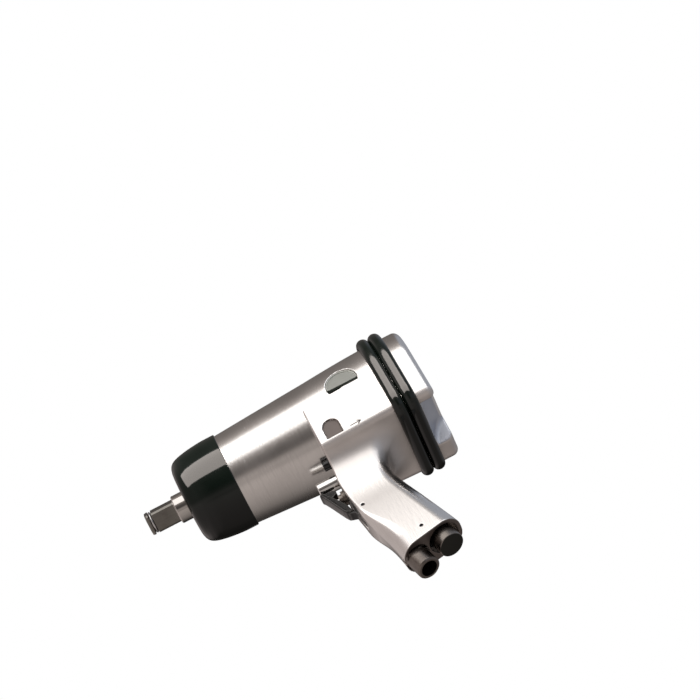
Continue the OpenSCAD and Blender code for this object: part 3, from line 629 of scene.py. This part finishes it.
# ---------------------------------------------------------------- nodes
class Nodes:
    """Short calls that add nodes to a node tree and link them."""

    def __init__(self, tree, space):
        self.tree = tree
        tree.nodes.clear()
        self.coord = self.add("ShaderNodeTexCoord").outputs[space]

    def add(self, kind, **props):
        node = self.tree.nodes.new(kind)
        for k, v in props.items():
            setattr(node, k, v)
        return node

    def link(self, a, b):
        self.tree.links.new(a, b)

    def put(self, socket, value):
        """Links a socket or sets a plain value; a colour is three numbers."""
        if hasattr(value, "links"):
            self.link(value, socket)
        elif isinstance(value, (tuple, list)):
            socket.default_value = (*value, 1)
        else:
            socket.default_value = value

    def stretch(self, scale):
        m = self.add("ShaderNodeMapping")
        self.link(self.coord, m.inputs["Vector"])
        m.inputs["Scale"].default_value = scale
        return m.outputs[0]

    def noise(self, scale, detail=3.0, rough=0.5, vector=None):
        n = self.add("ShaderNodeTexNoise")
        self.link(vector or self.coord, n.inputs["Vector"])
        n.inputs["Scale"].default_value = scale
        n.inputs["Detail"].default_value = detail
        n.inputs["Roughness"].default_value = rough
        return n.outputs["Fac"]

    def ramp(self, value, lo, hi, a=0.0, b=1.0):
        """lo at a, hi at b, straight between them and level outside."""
        n = self.add("ShaderNodeMapRange")
        self.link(value, n.inputs["Value"])
        n.inputs["From Min"].default_value = a
        n.inputs["From Max"].default_value = b
        n.inputs["To Min"].default_value = lo
        n.inputs["To Max"].default_value = hi
        return n.outputs["Result"]

    def mix(self, fac, c1, c2):
        n = self.add("ShaderNodeMix", data_type="RGBA")
        self.put(n.inputs[0], fac)
        self.put(n.inputs[6], c1)
        self.put(n.inputs[7], c2)
        return n.outputs[2]

    def math(self, op, a, b=0.0):
        n = self.add("ShaderNodeMath", operation=op)
        self.put(n.inputs[0], a)
        self.put(n.inputs[1], b)
        return n.outputs[0]

    def dot(self, axis):
        n = self.add("ShaderNodeVectorMath", operation="DOT_PRODUCT")
        self.link(self.coord, n.inputs[0])
        n.inputs[1].default_value = axis
        return n.outputs["Value"]

    def plane(self, ax, ay, az, at):
        """Millimetres beyond the plane ax*x + ay*y + az*z = at."""
        return self.math("SUBTRACT", self.dot((ax / MM, ay / MM, az / MM)), at)

    def beyond(self, distance, soft):
        """1 where distance is above zero, 0 where it is below."""
        return self.ramp(distance, 0.0, 1.0, -soft, soft)

    def within(self, distance, full, none):
        """1 up to full on both sides of zero, 0 from none on."""
        return self.ramp(self.math("ABSOLUTE", distance), 1, 0, full, none)

    def all_of(self, *masks):
        return reduce(lambda a, b: self.math("MULTIPLY", a, b), masks)

    def bump(self, height, strength, distance, normal=None):
        n = self.add("ShaderNodeBump")
        self.link(height, n.inputs["Height"])
        n.inputs["Strength"].default_value = strength
        n.inputs["Distance"].default_value = distance
        if normal is not None:
            self.link(normal, n.inputs["Normal"])
        return n.outputs[0]

    def convex_edge(self, strength):
        """strength on convex edges, 0 elsewhere, from the pointiness of the mesh."""
        g = self.add("ShaderNodeNewGeometry")
        return self.ramp(g.outputs["Pointiness"], 0, strength, 0.5, 0.56)

    def bevel(self, radius):
        n = self.add("ShaderNodeBevel", samples=4)
        n.inputs["Radius"].default_value = radius
        return n.outputs[0]


class Material(Nodes):
    """Node material with one principled shader."""

    def __init__(self, name):
        self.mat = bpy.data.materials.new(name)
        self.mat.use_nodes = True
        super().__init__(self.mat.node_tree, "Object")
        out = self.add("ShaderNodeOutputMaterial")
        self.bsdf = self.add("ShaderNodeBsdfPrincipled")
        self.link(self.bsdf.outputs[0], out.inputs[0])

    def set(self, name, value):
        self.put(self.bsdf.inputs[name], value)


# ---------------------------------------------------------------- finish zones and painted light
# Masks on the casting, the collar, the deflector and the badge, placed in millimetres
def arch_floor_painted_shade(m):
    """Rough cast floor of the arched recess, darkened as painted shade."""
    c, s = math.cos(ARCH_TILT), math.sin(ARCH_TILT)
    depth = m.plane(0, -c, -s, -ARCH_Y * c - ARCH_Z * s + 0.35)
    return m.all_of(
        m.ramp(depth, 1, 0, -0.1, 0.1),
        m.within(m.plane(1, 0, 0, ARCH_X), ARCH_HALF - 0.2, ARCH_HALF + 0.2),
        m.beyond(m.plane(0, 0, -1, 33.0), 0.1),
        m.beyond(m.plane(0, 0, 1, -57.0), 0.1),
        m.beyond(m.plane(0, -1, 0, 36.0), 0.1),
    )


def rough_flank(m):
    """Coarser finish on the rounded lower edge of the block and the top of the handle."""
    return m.all_of(
        m.beyond(m.plane(1, 0, 0, BLOCK_X - 0.2), 0.3),
        m.beyond(m.plane(0, 0, -1, 56.5), 1.0),
        m.ramp(m.plane(0, 0, -1, 0.0), 1, 0, 64.0, 94.0),
    )


def scoop_painted_reflection(m):
    """Inside of the scoop in the end cap, tinted blue as a painted reflection."""
    return m.all_of(
        m.beyond(m.plane(1, 0, 0, 262.0), 0.3),
        m.beyond(m.plane(0, 0, -1, 40.5), 0.4),
        m.beyond(m.plane(0, 1, 0, SCOOP_NEAR_Y - 0.4), 0.3),
        m.ramp(m.plane(0, 1, SCOOP_LEAN, SCOOP_LEAN_AT), 1, 0, 0.0, 0.5),
    )


def valve_face_painted_shadow(m):
    """Front face of the handle around the two valves, darkened as painted shadow."""
    return m.all_of(
        m.ramp(m.plane(1, 0, 0, 166.9), 1, 0, 0.0, 0.4),
        m.beyond(m.plane(0, 0, 1, -114.0), 1.0),
        m.beyond(m.plane(0, 0, -1, 72.0), 1.0),
        m.within(m.plane(0, 1, 0, 0.0), 10.5, 12.5),
        m.beyond(m.plane(1, 0, 0, 150.0), 1.0),
    )


def end_height(m, above):
    """Millimetres above a plane parallel to the handle's end face."""
    s, c = math.sin(RAKE), math.cos(RAKE)
    return m.plane(-s, 0, c, -s * END_X + c * END_Z + above)


def handle_foot(m):
    """Darker machined end face of the handle."""
    return m.ramp(end_height(m, 0.0), 1, 0, 0.1, 1.0)


def deflector_end(m):
    """Blackened outer end of the exhaust deflector."""
    return m.ramp(end_height(m, -11.8), 1, 0, 0.05, 0.35)


def stroke(m, x0, z0, x1, z1, width=0.65):
    """One thin line on the -Y side, drawn in x and z."""
    length = math.hypot(x1 - x0, z1 - z0)
    ux, uz = (x1 - x0) / length, (z1 - z0) / length
    along = m.plane(ux, 0, uz, ux * (x0 + x1) / 2 + uz * (z0 + z1) / 2)
    side = m.plane(-uz, 0, ux, -uz * x0 + ux * z0)
    return m.all_of(
        m.within(along, length / 2, length / 2 + 0.3),
        m.within(side, width / 2, width / 2 + 0.35),
        m.beyond(m.plane(0, -1, 0, 30.0), 0.5),
    )


def turn_arrow(m):
    """Plain arrow beside the recess, for the direction of turning."""
    tail_x, tip_x, z, barb_back, barb_up = 198.5, 208.6, -54.2, 3.2, 1.9
    shaft = stroke(m, tail_x, z, tip_x - 0.3, z)
    upper = stroke(m, tip_x - barb_back, z + barb_up, tip_x, z)
    lower = stroke(m, tip_x - barb_back, z - barb_up, tip_x, z)
    return m.math("MAXIMUM", shaft, m.math("MAXIMUM", upper, lower))


def collar_zone(m):
    """Polished round collar behind the square."""
    return m.beyond(m.plane(1, 0, 0, 27.6), 0.2)


def badge_painted_shadow(m):
    """Dark lower part of the badge, painted shadow at the lower edge of its recess."""
    return m.ramp(m.plane(0, 0, 1, -8.0), 1, 0, -0.3, 0.3)


# ---------------------------------------------------------------- materials
# Noise scales are in cycles a metre; depths and edge radii are in metres.
CLOUD, BLOT, FINE = 22.0, 70.0, 900.0
FINE_DEPTH = 0.00002


def scaled(color, factor, add=0.0):
    return [min(1, c * factor + add) for c in color]


def metal(name, color, rough, grain, grain_depth, tint=0.08, soft_edge=0.0, dark=None, blots=0.0, zones=()):
    """Brushed metal: grain, cloudy tone, worn edges, dark blots, and zones of another finish or of painted
    shade and reflection.
    """
    m = Material(name)
    brushed = m.noise(1.0, 4.0, 0.6, m.stretch(grain))
    cloud = m.noise(CLOUD, 3.0, 0.55)
    fine = m.noise(FINE, 2.0, 0.5)
    base = m.mix(m.ramp(cloud, 0, 1, 0.35, 0.65), scaled(color, 1 - tint), scaled(color, 1 + tint * 0.6))
    base = m.mix(m.ramp(brushed, 0.0, 0.35, 0.45, 0.8), base, scaled(color, 0.72))
    if dark is not None:
        base = m.mix(m.ramp(m.noise(BLOT, 5.0, 0.65), 0.0, blots, 0.5, 0.72), base, dark)
    base = m.mix(m.convex_edge(0.5), base, scaled(color, 1.25, 0.05))
    shine = m.ramp(brushed, rough * 0.85, rough * 1.2, 0.3, 0.7)
    shine = m.math("ADD", shine, m.ramp(cloud, -0.03, 0.03, 0.3, 0.7))
    for zone, zone_color, zone_rough in zones:
        mask = zone(m)
        zone_base = m.mix(m.ramp(cloud, 0, 1, 0.3, 0.7), zone_color, scaled(zone_color, 0.8))
        base = m.mix(mask, base, zone_base)
        outside = m.math("MULTIPLY", shine, m.math("SUBTRACT", 1.0, mask))
        shine = m.math("ADD", outside, m.math("MULTIPLY", mask, zone_rough))
    m.set("Base Color", base)
    m.set("Metallic", 1.0)
    m.set("Roughness", shine)
    normal = m.bevel(soft_edge) if soft_edge else None
    normal = m.bump(brushed, 0.35, grain_depth, normal)
    m.set("Normal", m.bump(fine, 0.15, FINE_DEPTH, normal))
    return m.mat


def black_gloss(name, color, rough, coat, bump, scale, soft_edge=0.0, wear=0.0):
    """Black rubber, plastic or finish: cloudy gloss, scuffs along X, and worn edges."""
    m = Material(name)
    cloud = m.noise(scale, 4.0, 0.6)
    fine = m.noise(700.0, 3.0, 0.6)
    scuff = m.noise(1.0, 5.0, 0.7, m.stretch((60, 500, 500)))
    base = m.mix(m.ramp(cloud, 0, 1, 0.35, 0.7), color, scaled(color, 1.4, 0.0005))
    base = m.mix(m.ramp(scuff, 0.0, 0.5, 0.66, 0.8), base, scaled(color, 2.0, 0.004))
    if wear:
        base = m.mix(m.convex_edge(wear), base, (0.3, 0.29, 0.27))
    m.set("Base Color", base)
    m.set("Roughness", m.ramp(cloud, rough * 0.75, rough * 1.4, 0.35, 0.7))
    m.set("Coat Weight", coat)
    m.set("Coat Roughness", rough * 0.5)
    # painted reflection: the side towards +Y and down gets a higher specular level than the side towards -Y
    # and up
    m.set("Specular IOR Level", m.ramp(m.plane(0, -0.751, 0.66, -3.0), 0.42, 0.18, -2.0, 2.0))
    normal = m.bevel(soft_edge) if soft_edge else None
    normal = m.bump(cloud, 0.4, bump, normal)
    m.set("Normal", m.bump(fine, 0.12, FINE_DEPTH, normal))
    return m.mat


BRUSHED, TURNED, TURNED_FINE, POLISHED = (900, 60, 60), (60, 500, 500), (60, 800, 800), (30, 900, 900)
CASTING_ZONES = [
    (rough_flank, (0.76, 0.72, 0.69), 0.5),
    # bluish painted reflection inside the scoop
    (scoop_painted_reflection, (0.62, 0.645, 0.70), 0.42),
    # painted shadow on the handle's front face around the valves
    (valve_face_painted_shadow, (0.07, 0.064, 0.06), 0.5),
    # painted shade on the floor of the arched recess, with a rougher finish
    (arch_floor_painted_shade, (0.20, 0.172, 0.158), 0.55),
    (handle_foot, (0.21, 0.18, 0.165), 0.4),
    (turn_arrow, (0.12, 0.11, 0.10), 0.5),
]
# Materials by the record's slots
MATERIALS = {
    "aluminium_cast": metal(
        "aluminium", (0.80, 0.775, 0.75), 0.22, BRUSHED, 0.000005, tint=0.05, zones=CASTING_ZONES
    ),
    "badge_metal": metal(
        "badge", (0.45, 0.465, 0.43), 0.38, BRUSHED, 0.00001, soft_edge=0.0004,
        # painted shadow along the lower part of the badge
        zones=[(badge_painted_shadow, (0.03, 0.036, 0.03), 0.4)],
    ),
    "bronze": metal("bronze", (0.30, 0.26, 0.22), 0.3, BRUSHED, 0.00004, soft_edge=0.0003),
    "dark_steel": metal(
        "dark_steel", (0.20, 0.175, 0.155), 0.34, TURNED, 0.00005, tint=0.2, soft_edge=0.0006,
        dark=(0.09, 0.075, 0.065), blots=0.5,
    ),
    "bright_steel": metal("bright_steel", (0.62, 0.61, 0.60), 0.25, TURNED_FINE, 0.00003, soft_edge=0.0003),
    "polished_steel": metal(
        "polished_steel", (0.78, 0.77, 0.75), 0.12, POLISHED, 0.00002, tint=0.04, soft_edge=0.0004
    ),
    "black_steel": black_gloss(
        "black_steel", (0.004, 0.004, 0.004), 0.22, coat=0.15, bump=0.00006, scale=160.0,
        soft_edge=0.0004, wear=0.3,
    ),
    "inlet_steel": metal(
        "inlet_steel", (0.15, 0.13, 0.115), 0.28, (200, 200, 200), 0.00008, tint=0.3, soft_edge=0.0006,
        dark=(0.05, 0.042, 0.038), blots=0.8,
    ),
    "boot_black": black_gloss(
        "boot_black", (0.0009, 0.0019, 0.0014), 0.07, coat=0.03, bump=0.00002, scale=30.0
    ),
    "bumper_rubber": black_gloss(
        "bumper_rubber", (0.0010, 0.0018, 0.0014), 0.13, coat=0.03, bump=0.00004, scale=80.0
    ),
    "seal_rubber": black_gloss(
        "seal_rubber", (0.012, 0.012, 0.012), 0.5, coat=0.1, bump=0.00005, scale=200.0
    ),
    "blade_composite": black_gloss(
        "blade_composite", (0.12, 0.07, 0.035), 0.5, coat=0.1, bump=0.00005, scale=200.0
    ),
}
# Pieces whose finish differs from the rest of their slot; the matte black of the pins is painted shade for
# the holes they sit in
PIN_PAINTED_SHADE = black_gloss("pin_painted_shade", (0.006, 0.006, 0.006), 0.5, coat=0.0, bump=0.00003, scale=200.0)
OWN_MATERIALS = {
    "anvil": metal(
        "anvil_steel", (0.21, 0.20, 0.18), 0.34, TURNED, 0.00003, tint=0.15, soft_edge=0.0006,
        dark=(0.12, 0.10, 0.09), blots=0.5, zones=[(collar_zone, (0.66, 0.63, 0.60), 0.08)],
    ),
    "exhaust_deflector": metal(
        "deflector_steel", (0.20, 0.178, 0.158), 0.28, (300, 300, 300), 0.00008, tint=0.3, soft_edge=0.0005,
        dark=(0.10, 0.085, 0.075), blots=0.9, zones=[(deflector_end, (0.045, 0.045, 0.04), 0.5)],
    ),
    "oil_plug": black_gloss(
        "plug_black", (0.004, 0.004, 0.004), 0.2, coat=0.3, bump=0.00003, scale=200.0, soft_edge=0.0005
    ),
    "trigger_pin": PIN_PAINTED_SHADE,
    "exhaust_retaining_pin": PIN_PAINTED_SHADE,
}
for sub in frame["record"]["subparts"]:
    ob = frame["nodes"][sub["node"]]
    ob.data.materials.clear()
    ob.data.materials.append(OWN_MATERIALS.get(sub["node"], MATERIALS[sub["material_slot"]]))


# ---------------------------------------------------------------- pieces
def dress(ob, slot, body, node):
    """Gives a piece its material and its body, and puts it in the place of a CAD node."""
    ob.data.materials.clear()
    ob.data.materials.append(MATERIALS[slot])
    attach(ob, body)
    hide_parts(node)


# Each field is sampled in a box that holds its piece with room to spare, at these grid steps
HOUSING_BOX = (40.3, -54.3, -199.4), (250.4, 54.3, 54.3)
CAP_BOX = (247.6, -54.4, -62.6), (278.2, 54.4, 54.4)
TRIGGER_BOX = (142.6, -9.6, -133), (182.2, 9.6, -74)
HOUSING_STEP = 0.95
CAP_STEP = HOUSING_STEP * 0.85
TRIGGER_STEP = 0.4

housing = field_mesh("housing_casting", housing_field, *HOUSING_BOX, HOUSING_STEP)
dress(housing, "aluminium_cast", "tool_body", "housing")

cap = field_mesh("end_cap_casting", cap_field, *CAP_BOX, CAP_STEP)
dress(cap, "aluminium_cast", "tool_body", "end_cap")

boot = lathe("nose_boot_moulding", boot_profile(), sides=192)
dress(boot, "boot_black", "tool_body", "nose_boot")

for which, ring_x in (("front_bumper", FRONT_RING_X), ("rear_bumper", REAR_RING_X)):
    dress(bumper(which, ring_x), "bumper_rubber", "tool_body", which + "_ring")

trigger = field_mesh("trigger_lever", trigger_field, *TRIGGER_BOX, TRIGGER_STEP)
dress(trigger, "black_steel", "trigger", "trigger")

# the throttle spring is drawn at rest; it does not close up when the trigger pushes the valve open
SPRING_X, SPRING_R, WIRE_R, SPRING_GAP, TRAVEL = 180.8, 3.4, 0.5, 0.3, 4.2
spring = coil(
    "throttle_spring_coil", SPRING_X, THROTTLE_FLOOR_X - SPRING_GAP, THROTTLE_Z, SPRING_R, WIRE_R, turns=5
)
dress(spring, "bright_steel", "tool_body", "throttle_spring")
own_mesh(spring)


# ---------------------------------------------------------------- camera
def placed(x, y, z, at):
    """World matrix from three axes and a place."""
    m = Matrix((x, y, z)).transposed().to_4x4()
    m.translation = at
    return m


# The camera looks up at the -Y side from below and is rolled about its line of sight. Metres.
ELEVATION, TURN, ROLL = math.radians(48.7), math.radians(0.8), math.radians(27.3)
DISTANCE, VIEW_WIDTH, SENSOR = 2.0, 0.626118, 36
CENTRE = Vector((0.15176, 0, -0.01299))
# the object sits left of and below the middle of the view by this much
AIM_RIGHT, AIM_UP = 0.041145, 0.093918

back = Vector((
    -math.sin(TURN), -math.cos(ELEVATION) * math.cos(TURN), -math.sin(ELEVATION) * math.cos(TURN)
)).normalized()
level_right = (Vector((1, 0, 0)) - back * back.x).normalized()
level_up = back.cross(level_right)
right = math.cos(ROLL) * level_right - math.sin(ROLL) * level_up
up = math.sin(ROLL) * level_right + math.cos(ROLL) * level_up
aim = (-back * DISTANCE + right * AIM_RIGHT + up * AIM_UP).normalized()
camera_z = -aim
camera_x = (right - camera_z * right.dot(camera_z)).normalized()
camera_y = camera_z.cross(camera_x)
camera_data = bpy.data.cameras.new("camera")
camera_data.sensor_width = SENSOR
camera_data.lens = SENSOR * DISTANCE / VIEW_WIDTH
camera_data.clip_start = 0.1
camera_data.clip_end = 60
camera = bpy.data.objects.new("camera", camera_data)
COL.objects.link(camera)
camera.matrix_world = placed(camera_x, camera_y, camera_z, CENTRE + back * DISTANCE)
bpy.context.scene.camera = camera


# ---------------------------------------------------------------- stage
def floor_material():
    """Pale floor that shines by itself and is clear from below."""
    mat = bpy.data.materials.new("floor_pale")
    mat.use_nodes = True
    m = Nodes(mat.node_tree, "Object")
    emit = m.add("ShaderNodeEmission")
    m.link(m.ramp(m.noise(3.0), 0.97, 1.0), emit.inputs["Strength"])
    pick = m.add("ShaderNodeMixShader")
    m.link(m.add("ShaderNodeNewGeometry").outputs["Backfacing"], pick.inputs[0])
    m.link(emit.outputs[0], pick.inputs[1])
    m.link(m.add("ShaderNodeBsdfTransparent").outputs[0], pick.inputs[2])
    m.link(pick.outputs[0], m.add("ShaderNodeOutputMaterial").inputs[0])
    return mat


FLOOR_HALF, FLOOR_GAP = 6.0, 0.002
floor_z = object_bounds()[0][2] - FLOOR_GAP
floor_corners = [(x * FLOOR_HALF, y * FLOOR_HALF, floor_z) for x, y in ((-1, -1), (1, -1), (1, 1), (-1, 1))]
floor_mesh = bpy.data.meshes.new("floor")
floor_mesh.from_pydata(floor_corners, [], [(0, 1, 2, 3)])
floor_mesh.materials.append(floor_material())
floor = bpy.data.objects.new("floor", floor_mesh)
COL.objects.link(floor)
floor.visible_diffuse = False
floor.visible_glossy = False
floor.visible_shadow = False

# ---------------------------------------------------------------- light
# Brightness of the studio around the object: degrees about the level axis, 0 straight towards
# the camera and positive above it
WALL_STOPS = [
    (-180, 0.03), (-138, 0.035), (-120, 0.09), (-106, 0.18), (-88, 0.27), (-60, 0.37), (-30, 0.45),
    (-23, 0.45), (-16, 0.31), (-9, 0.40), (-3, 0.33), (5, 0.09), (17, 0.10), (28, 0.17), (40, 0.40),
    (92, 0.50), (102, 0.36), (112, 0.25), (122, 0.20), (180, 0.13),
]
# Fills from the sides: where they start and are full, to the right of the line of sight, their
# colour, and whether they are only above it
SIDE_FILLS = [
    (-0.22, -0.48, (0.52, 0.46, 0.445), False),
    (0.46, 0.64, (0.33, 0.32, 0.33), False),
    (0.16, 0.40, (0.36, 0.38, 0.43), True),
]


def studio():
    """World that lights the object from its walls and shows plain white to the camera."""
    world = bpy.data.worlds.new("studio")
    world.use_nodes = True
    w = Nodes(world.node_tree, "Generated")
    height = w.dot(level_up)
    angle = w.math("ARCTAN2", height, w.dot(back))
    walls = w.add("ShaderNodeValToRGB")
    stops = walls.color_ramp.elements
    while len(stops) < len(WALL_STOPS):
        stops.new(0.5)
    for stop, (degrees, tone) in zip(stops, WALL_STOPS):
        stop.position = (degrees + 180) / 360
        stop.color = (tone, tone * 0.90, tone * 0.85, 1)
    w.link(w.ramp(angle, 0, 1, -math.pi, math.pi), walls.inputs[0])
    shade = walls.outputs[0]
    side, above = w.dot(level_right), w.math("GREATER_THAN", height, 0.0)
    for start, full, color, upper_only in SIDE_FILLS:
        strength = w.ramp(side, 0, 1, start, full)
        if upper_only:
            strength = w.math("MULTIPLY", strength, above)
        shade = w.mix(strength, shade, color)
    lit = w.add("ShaderNodeBackground")
    w.link(shade, lit.inputs[0])
    seen = w.add("ShaderNodeBackground")
    w.put(seen.inputs[0], (1, 1, 1))
    pick = w.add("ShaderNodeMixShader")
    w.link(w.add("ShaderNodeLightPath").outputs["Is Camera Ray"], pick.inputs[0])
    w.link(lit.outputs[0], pick.inputs[1])
    w.link(seen.outputs[0], pick.inputs[2])
    w.link(pick.outputs[0], w.add("ShaderNodeOutputWorld").inputs[0])
    return world


def softbox(name, direction, distance, size, power, color=(1, 1, 1)):
    """Area light aimed at the object's middle, from a direction in level right, up and back."""
    z = (level_right * direction[0] + level_up * direction[1] + back * direction[2]).normalized()
    light = bpy.data.lights.new(name, "AREA")
    light.shape = "RECTANGLE"
    light.size, light.size_y = size
    light.energy = power
    light.color = color
    ob = bpy.data.objects.new(name, light)
    COL.objects.link(ob)
    x = (Vector((1, 0, 0)) - z * z.x).normalized()
    ob.matrix_world = placed(x, z.cross(x), z, CENTRE + z * distance)
    return ob


bpy.context.scene.world = studio()
softbox("key_box", (0.05, 0.911, 0.411), distance=1.1, size=(2.3, 1.03), power=9.5)
window = softbox(
    "window_on_black", (0.07, 0.906, 0.423), distance=1.05, size=(2.1, 0.9), power=84, color=(1.0, 0.90, 0.84)
)
# the window shines only on the boot and the bumper rings
glossy_black = bpy.data.collections.new("glossy_black_pieces")
for ob in bpy.context.scene.objects:
    if ob.type == "MESH" and ob.data.materials:
        if ob.data.materials[0] in (MATERIALS["boot_black"], MATERIALS["bumper_rubber"]):
            glossy_black.objects.link(ob)
window.light_linking.receiver_collection = glossy_black
bpy.context.scene.view_settings.view_transform = "Standard"

bpy.context.view_layer.update()
